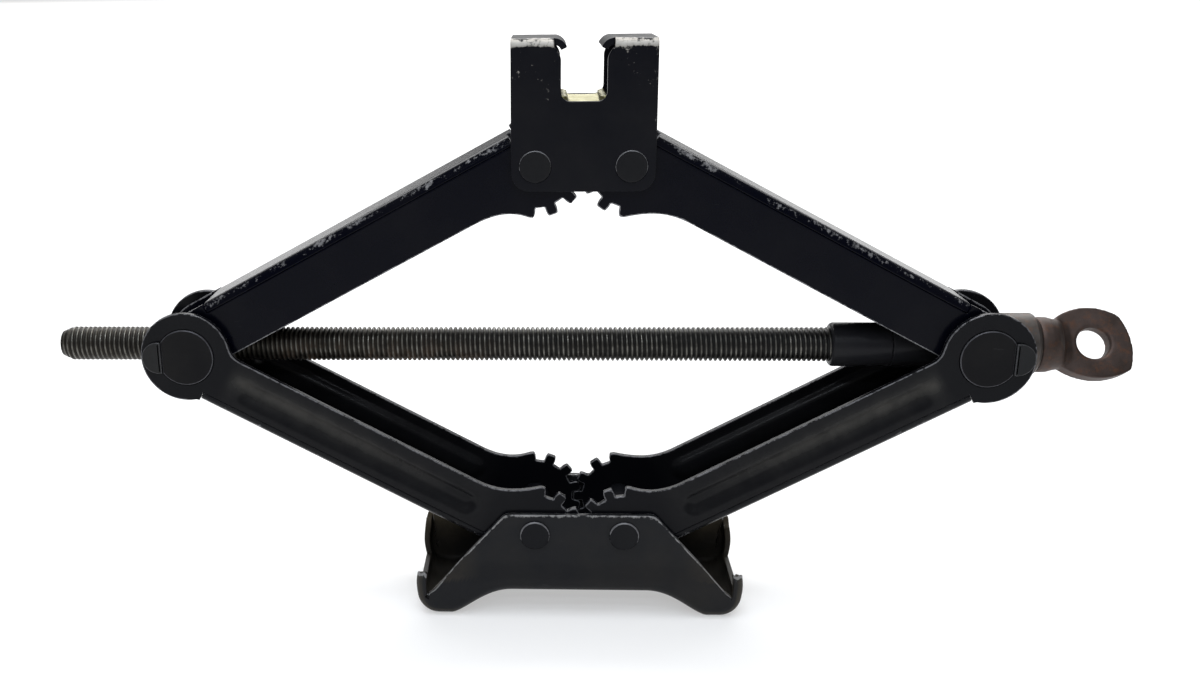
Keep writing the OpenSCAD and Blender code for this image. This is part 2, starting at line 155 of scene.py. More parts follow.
def thicken(verts, faces, values, thickness, edge=0.35 * MM):
    """Gives a sheet its thickness about its mid-surface, with rounded rims of radius edge."""
    v = np.asarray(verts, float)
    values = np.asarray(values, float)
    normal, face_n = np.zeros_like(v), []
    for f in faces:
        p = v[list(f)]
        n = np.cross(p[1] - p[0], p[-1] - p[0]) + np.cross(p[-2] - p[-1], p[1] - p[2]) * (len(f) == 4) * 0.5
        face_n.append(unit(n))
        for i, a in enumerate(f):
            e1, e2 = p[(i + 1) % len(f)] - p[i], p[i - 1] - p[i]
            cosine = np.dot(e1, e2) / max(np.linalg.norm(e1) * np.linalg.norm(e2), 1e-20)
            angle = acos(max(-1.0, min(1.0, cosine)))
            normal[a] += face_n[-1] * angle
    normal /= np.maximum(np.linalg.norm(normal, axis=1), 1e-20)[:, None]
    lean, count = np.zeros(len(v)), np.zeros(len(v))
    for f, n in zip(faces, face_n):
        for a in f:
            lean[a] += np.dot(normal[a], n)
            count[a] += 1
    scale = 1 / np.clip(lean / np.maximum(count, 1), 0.7, 1)
    directed = {(f[i], f[(i + 1) % len(f)]) for f in faces for i in range(len(f))}
    rim_edges = [(a, b) for a, b in directed if (b, a) not in directed]
    out = {}
    for a, b in rim_edges:
        d = unit(v[b] - v[a])
        for q in (a, b):
            out.setdefault(q, []).append(unit(np.cross(d, normal[q])))
    for q, dirs in out.items():
        o = unit(np.sum(dirs, axis=0))
        out[q] = o / max(0.75, float(np.mean([np.dot(o, k) for k in dirs])))
    for q, o in out.items():
        v[q] = v[q] - o * edge
    n = len(v)
    half, rounding_steps = thickness / 2, 3
    top, bottom = v + normal * (half * scale)[:, None], v - normal * (half * scale)[:, None]
    points = [top, bottom]
    levels = []
    for k in range(1, rounding_steps + 1):
        a = pi / 2 * k / rounding_steps
        levels.append((half - edge * (1 - cos(a)), edge * sin(a)))
    levels.append((half - edge - 0.3 * MM, edge))
    fade = [1.0] * rounding_steps + [0.5, 0.5] + [1.0] * rounding_steps
    levels += [(-h, o) for h, o in levels[::-1]]
    order = sorted(out)
    ids = {q: i for i, q in enumerate(order)}
    for h, o in levels:
        points.append(np.array([v[q] + normal[q] * h * scale[q] + out[q] * o for q in order]))
    all_values = [values, values] + [values[order] * f for f in fade]

    def at(level, q):
        if level < 0:
            return q
        return n + q if level >= len(levels) else 2 * n + level * len(order) + ids[q]

    new_faces = [tuple(f) for f in faces] + [tuple(n + i for i in f[::-1]) for f in faces]
    for a, b in rim_edges:
        for level in range(-1, len(levels)):
            new_faces.append((at(level, b), at(level, a), at(level + 1, a), at(level + 1, b)))
    return np.vstack(points), new_faces, np.concatenate(all_values)


def distances(line):
    """How far along a polyline each of its points is."""
    return np.r_[0, np.cumsum(np.linalg.norm(np.diff(line, axis=0), axis=1))]


def left_normals(line):
    """Unit normals on the left of a polyline, at its points."""
    d = np.gradient(line, axis=0)
    d /= np.linalg.norm(d, axis=1)[:, None]
    return np.c_[-d[:, 1], d[:, 0]]


def resample(points, step, closed=True):
    """Points every step along a polyline."""
    p = np.asarray(points, float)
    if closed:
        p = np.vstack([p, p[:1]])
    seg = np.linalg.norm(np.diff(p, axis=0), axis=1)
    keep = np.r_[True, seg > 1e-9]
    p = p[keep]
    s = distances(p)
    n = max(4, int(round(s[-1] / step)))
    t = np.linspace(0, s[-1], n, endpoint=not closed)
    return np.c_[np.interp(t, s, p[:, 0]), np.interp(t, s, p[:, 1])]


def soften(points, step, sigma, closed=True):
    """Rounds a polyline's corners by a Gaussian along its length."""
    p = resample(points, step, closed)
    k = int(ceil(3 * sigma / step))
    w = np.exp(-0.5 * (np.arange(-k, k + 1) * step / sigma) ** 2)
    w /= w.sum()
    q = np.vstack([p[-k:], p, p[:k]]) if closed else np.vstack([[p[0]] * k, p, [p[-1]] * k])
    return np.c_[np.convolve(q[:, 0], w, "valid"), np.convolve(q[:, 1], w, "valid")]


def inside(points, ring):
    """Which points lie inside a closed ring."""
    x, y = points[:, 0][:, None], points[:, 1][:, None]
    a, b = ring, np.roll(ring, -1, axis=0)
    cross = (a[:, 1] > y) != (b[:, 1] > y)
    with np.errstate(divide="ignore", invalid="ignore"):
        at = (b[:, 0] - a[:, 0]) * (y - a[:, 1]) / (b[:, 1] - a[:, 1]) + a[:, 0]
    return (cross & (x < at)).sum(1) % 2 == 1


def ring_distance(points, ring, closed=True):
    """Distance of each point to a polyline."""
    a, b = ring, np.roll(ring, -1, axis=0)
    if not closed:
        a, b = a[:-1], b[:-1]
    d = b - a
    out = np.full(len(points), 1e9)
    for i in range(0, len(points), 2000):
        p = points[i:i + 2000]
        t = np.clip(((p[:, None] - a) * d).sum(2) / np.maximum((d * d).sum(1), 1e-18), 0, 1)
        out[i:i + 2000] = np.linalg.norm(a + t[..., None] * d - p[:, None], axis=2).min(1)
    return out


def triangulate(outer, holes, step):
    """A flat region as an even mesh of triangles: its points and faces."""
    rings = [np.asarray(outer)] + [np.asarray(h) for h in holes]
    lo, hi = rings[0].min(0), rings[0].max(0)
    span = np.linalg.norm(hi - lo)
    g = np.arange(-span, span, step)
    gx, gy = np.meshgrid(g, g)
    grid = np.c_[gx.ravel(), gy.ravel()]
    grid = grid[((grid > lo) & (grid < hi)).all(1)]
    grid = grid[inside(grid, rings[0])]
    for h in rings[1:]:
        grid = grid[~inside(grid, h)]
    for r in rings:
        grid = grid[ring_distance(grid, r) > 0.75 * step]
    verts, edges = [], []
    for r in rings:
        n, k = len(r), len(verts)
        verts += [Vector(p) for p in r]
        edges += [(k + i, k + (i + 1) % n) for i in range(n)]
    verts += [Vector(p) for p in grid]
    out_v, _, out_f, _, _, _ = geometry.delaunay_2d_cdt(verts, edges, [], 1, 1e-7)
    v = np.array([(p.x, p.y) for p in out_v])
    f = np.array([t for t in out_f if len(t) == 3])
    centre = v[f].mean(1)
    keep = inside(centre, rings[0])
    for h in rings[1:]:
        keep &= ~inside(centre, h)
    f = f[keep]
    e1, e2 = v[f[:, 1]] - v[f[:, 0]], v[f[:, 2]] - v[f[:, 0]]
    flip = e1[:, 0] * e2[:, 1] - e1[:, 1] * e2[:, 0] < 0
    f[flip] = f[flip][:, ::-1]
    return v, f


def weld(verts, faces, values):
    """Joins points that coincide; values holds one number per point."""
    verts = np.asarray(verts, float)
    key = np.round(verts / (0.02 * MM)).astype(np.int64)
    _, first, back = np.unique(key, axis=0, return_index=True, return_inverse=True)
    back = back.ravel()
    out = [tuple(dict.fromkeys(back[i] for i in f)) for f in faces]
    out = [f for f in out if len(f) > 2]
    return verts[first], out, np.asarray(values)[first]


def circle(cx, cy, r, n):
    a = np.linspace(0, 2 * pi, n, endpoint=False)
    return np.c_[cx + r * np.cos(a), cy + r * np.sin(a)]


def arc(cx, cy, r, start, stop, count):
    return [(cx + r * cos(a), cy + r * sin(a)) for a in np.linspace(start, stop, count)]


def lathe(profile, axis_point, axis, segments):
    """Turned solid: profile holds (distance along the axis, radius); its two ends are closed."""
    axis = Vector(axis).normalized()
    side = axis.orthogonal().normalized()
    other = axis.cross(side)
    verts, faces = [], []
    for along, r in profile:
        for k in range(segments):
            a = 2 * pi * k / segments
            verts.append(Vector(axis_point) + axis * along + (side * cos(a) + other * sin(a)) * r)
    n = len(profile)
    for i in range(n - 1):
        for k in range(segments):
            q = (k + 1) % segments
            faces.append((i * segments + k, i * segments + q, (i + 1) * segments + q, (i + 1) * segments + k))
    faces.append(tuple(range(segments))[::-1])
    faces.append(tuple((n - 1) * segments + k for k in range(segments)))
    return verts, faces


class Nodes:
    """Builds one node material from short calls."""

    def __init__(self, name):
        self.material = bpy.data.materials.new(name)
        self.material.use_nodes = True
        self.tree = self.material.node_tree
        self.shader = self.tree.nodes["Principled BSDF"]
        self.coords = self.tree.nodes.new("ShaderNodeTexCoord")

    def add(self, kind, **values):
        node = self.tree.nodes.new(kind)
        for key, value in values.items():
            setattr(node, key, value)
        return node

    def link(self, a, b):
        self.tree.links.new(a, b)

    def noise(self, scale, detail=4, rough=0.55, stretch=(1, 1, 1), shift=(0, 0, 0)):
        mapping = self.add("ShaderNodeMapping")
        mapping.inputs["Scale"].default_value = stretch
        mapping.inputs["Location"].default_value = shift
        self.link(self.coords.outputs["Object"], mapping.inputs["Vector"])
        node = self.add("ShaderNodeTexNoise")
        node.inputs["Scale"].default_value = scale
        node.inputs["Detail"].default_value = detail
        node.inputs["Roughness"].default_value = rough
        self.link(mapping.outputs["Vector"], node.inputs["Vector"])
        return node.outputs["Fac"]

    def ramp(self, value, stops):
        node = self.add("ShaderNodeValToRGB")
        while len(node.color_ramp.elements) < len(stops):
            node.color_ramp.elements.new(0.5)
        for element, (at, colour) in zip(node.color_ramp.elements, stops):
            element.position = at
            element.color = (colour,) * 3 + (1,) if isinstance(colour, (int, float)) else (*colour, 1)
        self.link(value, node.inputs["Fac"])
        return node.outputs["Color"]

    def step(self, value, low, high):
        """Rises from 0 at low to 1 at high."""
        return self.ramp(value, [(low, 0.0), (high, 1.0)])

    def feed(self, socket, value):
        """Links another node's output to a socket, or sets its number or colour."""
        if isinstance(value, bpy.types.NodeSocket):
            self.link(value, socket)
        else:
            socket.default_value = (*value, 1) if isinstance(value, tuple) else value

    def mix(self, factor, a, b):
        """Mixes two colours."""
        node = self.add("ShaderNodeMix", data_type="RGBA")
        for socket, value in ((0, factor), (6, a), (7, b)):
            self.feed(node.inputs[socket], value)
        return node.outputs[2]

    def grey(self, factor, a, b):
        """Mixes two plain values."""
        return self.mix(factor, *(v if isinstance(v, bpy.types.NodeSocket) else (v,) * 3 for v in (a, b)))

    def math(self, operation, a, b=0.0, clamp=True):
        node = self.add("ShaderNodeMath", operation=operation, use_clamp=clamp)
        self.feed(node.inputs[0], a)
        self.feed(node.inputs[1], b)
        return node.outputs[0]

    def times(self, a, b):
        return self.math("MULTIPLY", a, b)

    def attribute(self, name):
        return self.add("ShaderNodeAttribute", attribute_name=name).outputs["Fac"]

    def position(self, axis):
        node = self.add("ShaderNodeSeparateXYZ")
        self.link(self.coords.outputs["Object"], node.inputs[0])
        return node.outputs["XYZ".index(axis)]

    def bump(self, *layers):
        """Layers of (height, strength, distance in metres)."""
        normal = None
        for height, strength, distance in layers:
            node = self.add("ShaderNodeBump")
            node.inputs["Strength"].default_value = strength
            node.inputs["Distance"].default_value = distance
            self.link(height, node.inputs["Height"])
            if normal is not None:
                self.link(normal, node.inputs["Normal"])
            normal = node.outputs["Normal"]
        self.link(normal, self.shader.inputs["Normal"])

    def finish(self, colour, rough, metal, specular=0.5):
        for socket, value in (("Base Color", colour), ("Roughness", rough), ("Metallic", metal)):
            self.feed(self.shader.inputs[socket], value)
        self.shader.inputs["Specular IOR Level"].default_value = specular
        return self.material


def paint(name, colour, gloss, dust, dust_and_painted_light_colour=(0.060, 0.056, 0.048), wear_and_highlight_colour=(0.30, 0.30, 0.30),
          scratch=0.5, specular=0.085, chips=0.03):
    """Black paint with dust, fine scratches, sparse chips, and light bare edges where the wear attribute is
    high. The bare edges are worn paint and painted highlight lines; the lying dust on the arms' inner faces is
    painted light.
    """
    n = Nodes(name)
    broad = n.noise(28, 5, 0.6)
    fine = n.noise(420, 3, 0.6)
    streak = n.noise(160, 6, 0.7, stretch=(0.25, 1, 1.6))
    film = n.times(n.step(broad, 0.42, 0.72), dust)
    # lying dust from the dust attribute; on the arms' inner faces it is painted light that lifts their shade
    lying_dust_and_painted_light = n.times(n.attribute("dust"), n.ramp(n.noise(95, 5, 0.65), [(0.3, 0.45), (0.65, 1.0)]))
    dust_and_painted_light_mask = n.math("MAXIMUM", film, lying_dust_and_painted_light)
    base = n.mix(dust_and_painted_light_mask, tuple(colour), dust_and_painted_light_colour)
    lines = n.step(streak, 0.69, 0.73)
    base = n.mix(n.times(lines, scratch * 0.3), base, (0.12, 0.12, 0.125))
    # sparse chips: one small spot in a few of the cells
    cells = n.add("ShaderNodeTexVoronoi")
    cells.inputs["Scale"].default_value = 75
    n.link(n.coords.outputs["Object"], cells.inputs["Vector"])
    pick = n.add("ShaderNodeSeparateColor")
    n.link(cells.outputs["Color"], pick.inputs[0])
    chosen = n.math("LESS_THAN", pick.outputs[0], 0.16)
    wobble = n.math("ADD", cells.outputs["Distance"], n.times(n.noise(1500, 2, 0.5), 0.05), clamp=False)
    spot = n.times(n.math("LESS_THAN", wobble, chips + 0.025), chosen)
    # light bare edges: worn paint, and painted highlight lines where rims and folds would catch the lights
    # above
    wear = n.attribute("wear")
    broken = n.math("ADD", n.times(n.noise(620, 5, 0.7), 0.55), n.times(n.noise(120, 4, 0.6), 0.45))
    edge = n.math("SUBTRACT", n.math("ADD", wear, broken, clamp=False), 1.0)
    bare_and_highlight = n.math("MAXIMUM", n.step(edge, 0.0, 0.08), n.times(spot, 0.7))
    tone = n.mix(n.noise(260, 4, 0.7), tuple(0.45 * c for c in wear_and_highlight_colour), wear_and_highlight_colour)
    base = n.mix(bare_and_highlight, base, tone)
    rough = n.grey(dust_and_painted_light_mask, gloss, gloss + 0.4)
    rough = n.grey(n.times(fine, 0.2), rough, gloss + 0.2)
    rough = n.grey(bare_and_highlight, rough, 0.45)
    n.bump((n.noise(900, 2, 0.5), 0.08, 0.00010), (n.noise(70, 3, 0.5), 0.10, 0.0005), (broken, 0.10, 0.0002))
    return n.finish(base, rough, n.times(bare_and_highlight, 0.5), specular=specular)


def bare_steel(name, light, dark, rough_low, rough_high, rust=0.0):
    """Unpainted steel with a dark skin, brown stains and small pits."""
    n = Nodes(name)
    cloud = n.noise(70, 6, 0.65)
    spots = n.noise(300, 5, 0.7)
    base = n.mix(n.step(cloud, 0.35, 0.68), tuple(dark), tuple(light))
    base = n.mix(n.times(n.step(spots, 0.5, 0.72), rust), base, (0.16, 0.06, 0.02))
    rough = n.grey(cloud, rough_low, rough_high)
    n.bump((spots, 0.25, 0.0003), (n.noise(900, 3, 0.6), 0.2, 0.0001))
    return n.finish(base, rough, 0.85)


def thread_steel(name):
    """Oiled rolled thread: olive brown at its free end, dark and greasy in the middle, rust near the nut."""
    n = Nodes(name)
    end = side_x + 60 * MM
    along = n.math("DIVIDE", n.math("ADD", n.position("X"), end), 2 * end)
    tint = n.ramp(along, [(0.0, (0.029, 0.025, 0.019)), (0.17, (0.028, 0.023, 0.017)),
                          (0.30, (0.030, 0.026, 0.019)), (0.42, (0.022, 0.021, 0.019)),
                          (0.8, (0.017, 0.017, 0.018)), (1.0, (0.015, 0.015, 0.017))])
    grime = n.noise(140, 5, 0.7)
    base = n.mix(n.ramp(grime, [(0.38, 0.0), (0.7, 0.75)]), tint, (0.022, 0.02, 0.018))
    near = n.ramp(along, [(0.2, 0.0), (0.25, 0.9), (0.36, 0.7), (0.48, 0.0)])
    under = n.math("DIVIDE", n.math("SUBTRACT", side_z + 4 * MM, n.position("Z")), 11 * MM)
    low = n.ramp(under, [(0.0, 0.15), (1.0, 1.0)])
    rusty = n.times(n.times(n.step(n.noise(95, 5, 0.7), 0.45, 0.62), near), low)
    base = n.mix(rusty, base, (0.085, 0.042, 0.014))
    # painted shade: the thread's roots are darkened towards near black
    base = n.mix(n.ramp(n.attribute("wear"), [(0.0, 0.8), (0.35, 0.0)]), base, (0.006, 0.006, 0.006))
    # lighter speckled crests: worn metal and painted highlight glints
    high = n.step(n.attribute("wear"), 0.5, 1.0)
    crest = n.times(high, n.ramp(n.noise(260, 3, 0.6), [(0.35, 0.15), (0.65, 1.0)]))
    base = n.mix(crest, base, (0.13, 0.126, 0.112))
    rough = n.grey(rusty, n.grey(crest, 0.5, 0.26), 0.8)
    n.bump((grime, 0.2, 0.0002))
    return n.finish(base, rough, n.grey(rusty, 0.8, 0.1))


def zinc_plate(name):
    n = Nodes(name)
    cloud = n.noise(160, 5, 0.6)
    base = n.mix(n.step(cloud, 0.35, 0.65), (0.17, 0.155, 0.065), (0.30, 0.285, 0.17))
    base = n.mix(n.ramp(n.noise(420, 4, 0.7), [(0.6, 0.0), (0.7, 0.8)]), base, (0.09, 0.08, 0.05))
    n.bump((cloud, 0.2, 0.0002))
    return n.finish(base, n.grey(cloud, 0.22, 0.45), 0.85)


foot_paint = paint("foot_paint", (0.0132, 0.0138, 0.0155), 0.34, 0.10, (0.075, 0.062, 0.042),
                   scratch=0.3)
lower_paint = paint("lower_arm_paint", (0.0036, 0.0039, 0.0053), 0.15, 0.05, (0.052, 0.050, 0.046),
                    wear_and_highlight_colour=(0.17, 0.17, 0.18))
upper_paint = paint("upper_arm_paint", (0.0006, 0.0009, 0.0036), 0.17, 0.04,
                    wear_and_highlight_colour=(0.27, 0.27, 0.28), specular=0.075)
saddle_paint = paint("saddle_paint", (0.0027, 0.0031, 0.0055), 0.26, 0.06, wear_and_highlight_colour=(0.44, 0.42, 0.385))
pin_paint = paint("pin_paint", (0.0060, 0.0064, 0.0080), 0.22, 0.1,
                  wear_and_highlight_colour=(0.22, 0.22, 0.23), scratch=0.2, chips=0)
trunnion_paint = paint("trunnion_paint", (0.0040, 0.0040, 0.0050), 0.32, 0.1,
                       wear_and_highlight_colour=(0.10, 0.10, 0.11), scratch=0.4)
key_paint = paint("key_paint", (0.0140, 0.0145, 0.0155), 0.36, 0.12,
                  wear_and_highlight_colour=(0.09, 0.09, 0.095), scratch=0.2)
sleeve_black = paint("sleeve_black", (0.0115, 0.0118, 0.0140), 0.26, 0.08, scratch=0.2)
bearing_steel = bare_steel("bearing_steel", (0.6, 0.6, 0.59), (0.45, 0.45, 0.44), 0.15, 0.3)
cup_steel = bare_steel("cup_steel", (0.085, 0.076, 0.07), (0.042, 0.037, 0.034), 0.38, 0.6, rust=0.3)
eye_steel = bare_steel("eye_steel", (0.075, 0.055, 0.049), (0.040, 0.029, 0.025), 0.42, 0.68, rust=0.35)
screw_steel = thread_steel("screw_steel")
zinc = zinc_plate("zinc_plate")

for name in ("thrust_race_fixed", "thrust_balls", "thrust_race_turning"):
    frame["nodes"][name].data.materials.clear()
    frame["nodes"][name].data.materials.append(bearing_steel)


# ---------------------------------------------------------------- arms
def half_tooth(r):
    involute = lambda a: tan(a) - a
    blunt = 0.022 * (r - base_radius) / (tip_radius - base_radius)
    return (pi / 2 / gear_teeth - backlash + involute(pressure_angle) + blunt
            - involute(acos(min(1, base_radius / r))))


def bezier(p0, p1, p2, p3, steps):
    t = np.linspace(0, 1, steps + 1)[:, None]
    p0, p1, p2, p3 = (np.array(p, float) for p in (p0, p1, p2, p3))
    return (1 - t) ** 3 * p0 + 3 * (1 - t) ** 2 * t * p1 + 3 * (1 - t) * t * t * p2 + t ** 3 * p3


def flange_outline(open_edge, web_edge, end_radius, odd):
    """Outline of one flange in the arm's own plane, anticlockwise: u along the arm, w towards its open side."""
    polar = lambda r, a: (r * cos(pi - a - rest_angle), r * sin(pi - a - rest_angle))
    first = -tooth_pitch * (1.5 if odd else 1)
    count = 5 if odd else 4
    shoulder = first + tooth_pitch * count
    valley = max(worn_root, web_edge)
    p = []
    # lower side, from under the gear pivot to the disc
    meet = sqrt(valley ** 2 - web_edge ** 2) if web_edge < valley else 0.0
    p.append((meet, -web_edge))
    reach = sqrt(max(0.0, end_radius ** 2 - web_edge ** 2))
    start = atan2(-web_edge, -reach)
    p.append((arm_length - reach, -web_edge))
    # round end, up to the fillet that joins it to the open edge
    if end_radius > web_edge + 1e-6:
        fillet = 8 * MM
        du = sqrt((end_radius + fillet) ** 2 - (open_edge + fillet) ** 2)
        touch = atan2(open_edge + fillet, -du)
        p += arc(arm_length, 0, end_radius, start, touch, 60)
        back = atan2(-(open_edge + fillet), du)
        p += arc(arm_length - du, open_edge + fillet, fillet, back, -pi / 2, 10)[1:]
    else:
        stop = pi - asin(open_edge / end_radius)
        p += arc(arm_length, 0, end_radius, start, stop, 60)[1:]
    # open edge and shoulder
    top = polar(tip_radius, shoulder)
    p += [tuple(q) for q in bezier((24 * MM + open_edge, open_edge), (22.6 * MM, open_edge - 0.2 * MM),
                                   (16.2 * MM, 11.3 * MM), top, 14)]
    # teeth
    radii = np.linspace(base_radius, tip_radius, 6)
    for k in range(count, -1, -1):
        a = first + tooth_pitch * k
        if k < count:
            p.append(polar(valley, a + half_tooth(base_radius)))
            p += [polar(r, a + half_tooth(r)) for r in radii]
        p += [polar(r, a - half_tooth(r)) for r in radii[::-1]]
        p.append(polar(valley, a - half_tooth(base_radius)))
    # round the pivot, back to the lower side
    last = pi - (first - half_tooth(base_radius)) - rest_angle
    end = 2 * pi + atan2(-web_edge, meet)
    return np.array(p + arc(0, 0, valley, last, end, 24)[1:-1])


def groove_depth(u, w):
    """Depth of the pressed channel: a steep upper side, a long shallow lower side and round ends."""
    start, end, low, high, centre = 25 * MM, arm_length - 22 * MM, -8.6 * MM, 4.2 * MM, -0.6 * MM
    deepest, slope = 2.1 * MM, 0.82
    r = (high - low) / 2
    across = np.where(w > centre, (w - centre) / (high - centre), (centre - w) / (centre - low))
    along = np.maximum(np.maximum(start + r - u, u - end + r), 0) / r
    t = np.clip((1 - np.hypot(along, across)) / slope, 0, 1)
    return deepest * t * t * (3 - 2 * t)


def arm(name, side, upper, half_width, open_edge, web_edge, end_radius, web_start, material, fold_wear_and_highlight):
    """A channel arm bent from one sheet, open upwards, or downwards for an upper arm. side is -1 or 1 in X."""
    mid_y = half_width - sheet / 2
    bend_r = 2.6 * MM
    web_mid = web_edge - sheet / 2
    bend_w = -web_mid + bend_r
    web_end = arm_length - (16 if upper else 12.5) * MM
    slit = 0.12 * MM
    n = int(round((web_end - web_start) / (1.3 * MM)))
    line_u = np.linspace(web_start, web_end, n + 1)
    shell = Shell()
    front_odd = (side > 0) != upper
    # the two flanges, whose teeth are half a pitch apart
    for rear in (False, True):
        outline = flange_outline(open_edge, web_edge, end_radius, front_odd != rear)
        outline = soften(outline, 0.2 * MM, 0.26 * MM)
        keep, last = [], None
        for p in outline:
            gap = 0.36 * MM if p[0] < 20 * MM else 0.9 * MM
            if last is None or np.hypot(*(p - last)) >= gap * 0.98:
                keep.append(p)
                last = p
        outline = np.array(keep)
        below = (outline[:, 1] < bend_w) & (outline[:, 0] > web_start - slit) & (outline[:, 0] < web_end + slit)
        first = np.where(below & ~np.roll(below, 1))[0][0]
        outline, below = np.roll(outline, -first, axis=0), np.roll(below, -first)
        kept = outline[~below]
        kept = kept[(np.abs(kept[:, 0] - web_end) > 0.4 * MM) | (kept[:, 1] > 0)]
        cut = [(web_start - slit, bend_w)] + [(u, bend_w) for u in line_u] + [(web_end + slit, bend_w)]
        ring = np.vstack([cut, [(web_end + slit, -web_edge)], kept, [(web_start - slit, kept[-1][1])]])
        holes = [circle(0, 0, pin_r + running_gap, 48), circle(arm_length, 0, trunnion_r + running_gap, 72)]
        v2, f2 = triangulate(ring, holes, 1.0 * MM)
        depth = np.zeros(len(v2)) if upper else groove_depth(v2[:, 0], v2[:, 1])
        # light lines along the flanges' free edges and beside the web: worn paint, and painted highlights where
        # rims and folds catch the lights above
        free = ring_distance(v2, np.vstack([ring[len(cut) - 1:], ring[:1]]), closed=False)
        near_gear = np.clip(1 - np.hypot(v2[:, 0], v2[:, 1]) / (26 * MM), 0, 1)
        at_web_end = (v2[:, 1] < 0) & (np.abs(v2[:, 0] - web_end) < 4 * MM)
        values = np.clip(1 - free / (1.0 * MM), 0, 1) * np.where(at_web_end, 0.3, 0.58 + 0.05 * near_gear)
        down = -v2[:, 1] / web_edge * (v2[:, 0] < web_end)
        values = np.maximum(values, fold_wear_and_highlight * np.clip((down - 0.72) / 0.28, 0, 1) ** 1.5)
        y = (mid_y - depth) * (1 if rear else -1)
        shell.add(np.c_[v2[:, 0], y, v2[:, 1]], f2, values, rear)
    # bends and web; the folds carry the same light lines of worn paint and painted highlight
    flat = mid_y - bend_r
    rows = [(-mid_y, bend_w, 0.6)]
    for k in range(1, 8):
        a = k * pi / 16
        rows.append((-flat - bend_r * cos(a), bend_w - bend_r * sin(a), 0.6 + 0.4 * sin(2 * a)))
    rows = both_sides(rows, [(y, -web_mid, 0.75 * max(0.0, 1 - (flat - abs(y)) / (5 * MM)))
                             for y in np.linspace(-flat, flat, 14)])
    grid = [(u, y, w) for u in line_u for y, w, _ in rows]
    shell.add(grid, grid_faces(n + 1, len(rows)), [fold_wear_and_highlight * r[2] for _ in line_u for r in rows], False)
    verts, faces, wear = shell.solid()
    # a lighter, sandy band along the pressed channel's outer face, stronger towards the disc, and thin dust
    # over the outer faces; on the inner faces the same light colour is painted light that lifts them out of
    # their shade
    u, w = verts[:, 0], verts[:, 2]
    outer = np.abs(verts[:, 1]) > mid_y - groove_depth(u, w)
    band = np.exp(-((w - 0.2 * MM) / (3.3 * MM)) ** 2)
    reach = np.clip((u - 34 * MM) / (60 * MM), 0, 1) * np.clip((arm_length - 18.5 * MM - u) / (5 * MM), 0, 1)
    body = np.clip((u - 18 * MM) / (8 * MM), 0, 1) * np.clip((arm_length - 17 * MM - u) / (5 * MM), 0, 1)
    dust = (band * reach * outer * 0.75 + body * np.where(outer, 0.11, 0.10)) * (not upper)
    # place: u and w into X and Z
    c, s = cos(rest_angle), sin(rest_angle)
    x = verts[:, 0] * c - verts[:, 2] * s
    z = verts[:, 0] * s + verts[:, 2] * c
    pivot_z = saddle_z if upper else foot_z
    placed = np.c_[side * (half_spacing + x), verts[:, 1], pivot_z + (-z if upper else z)]
    if (side < 0) != upper:
        faces = [f[::-1] for f in faces]
    new_object(name + "_sheet", placed, faces, name, name, material, wear, dust)


SIDES = ((-1, "left"), (1, "right"))
for side, word in SIDES:
    arm("lower_arm_" + word, side, False, lower_half_width, lower_open, lower_web, joint_disc, 8 * MM,
        lower_paint, 0.45)
for side, word in SIDES:
    arm("upper_arm_" + word, side, True, upper_half_width, upper_open, upper_web, upper_web, 4 * MM,
        upper_paint, 0.49)


# ---------------------------------------------------------------- screw
def screw_thread():
    major, depth, pitch = 7.0 * MM, 1.2 * MM, 2.0 * MM
    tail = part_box("lead_screw")[0].x
    stop = side_x - 57.5 * MM
    per_turn = 24
    turns = (stop - tail) / pitch + 1
    profile = [(0.0, 0.0), (0.28, 0.84), (0.37, 1.0), (0.63, 1.0), (0.72, 0.84)]
    verts, wear, ring = [], [], []
    steps = int(turns * per_turn)
    for i in range(steps + 1):
        a = -2 * pi * i / per_turn
        row = []
        for along, high in profile:
            x = tail - pitch + pitch * (i / per_turn + along)
            x = min(max(x, tail), stop + 3 * MM)
            fade = min(1.0, max(0.0, (x - tail) / (4 * MM)))
            r = major - depth * (1 - high)
            r = min(r, 5.2 * MM + 1.8 * MM * fade)
            row.append(len(verts))
            verts.append((x, r * sin(a), side_z + r * cos(a)))
            # crests 1, flanks 0.35, roots 0: the material paints the roots dark as painted shade and the crests
            # light as worn metal with painted highlight
            wear.append(1.0 if high > 0.99 else 0.35 if high > 0.5 else 0.0)
        ring.append(row)
    faces = []
    k = len(profile)
    for i in range(steps):
        for j in range(k - 1):
            faces.append((ring[i][j], ring[i + 1][j], ring[i + 1][j + 1], ring[i][j + 1]))
        if i + per_turn < steps:
            faces.append((ring[i][k - 1], ring[i + 1][k - 1], ring[i + 1 + per_turn][0], ring[i + per_turn][0]))
    return verts, faces, wear


verts, faces, wear = screw_thread()
core_start = (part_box("lead_screw")[0].x, 0, side_z)
core_v, core_f = lathe([(0.15 * MM, 5.0 * MM), (2 * side_x, 5.6 * MM)], core_start, (1, 0, 0), 32)
k = len(verts)
verts += [tuple(v) for v in core_v]
wear += [0.0] * len(core_v)
faces += [tuple(k + i for i in f) for f in core_f]
new_object("lead_screw_thread", verts, faces, "screw", "lead_screw", screw_steel, wear, flat_normals=False)


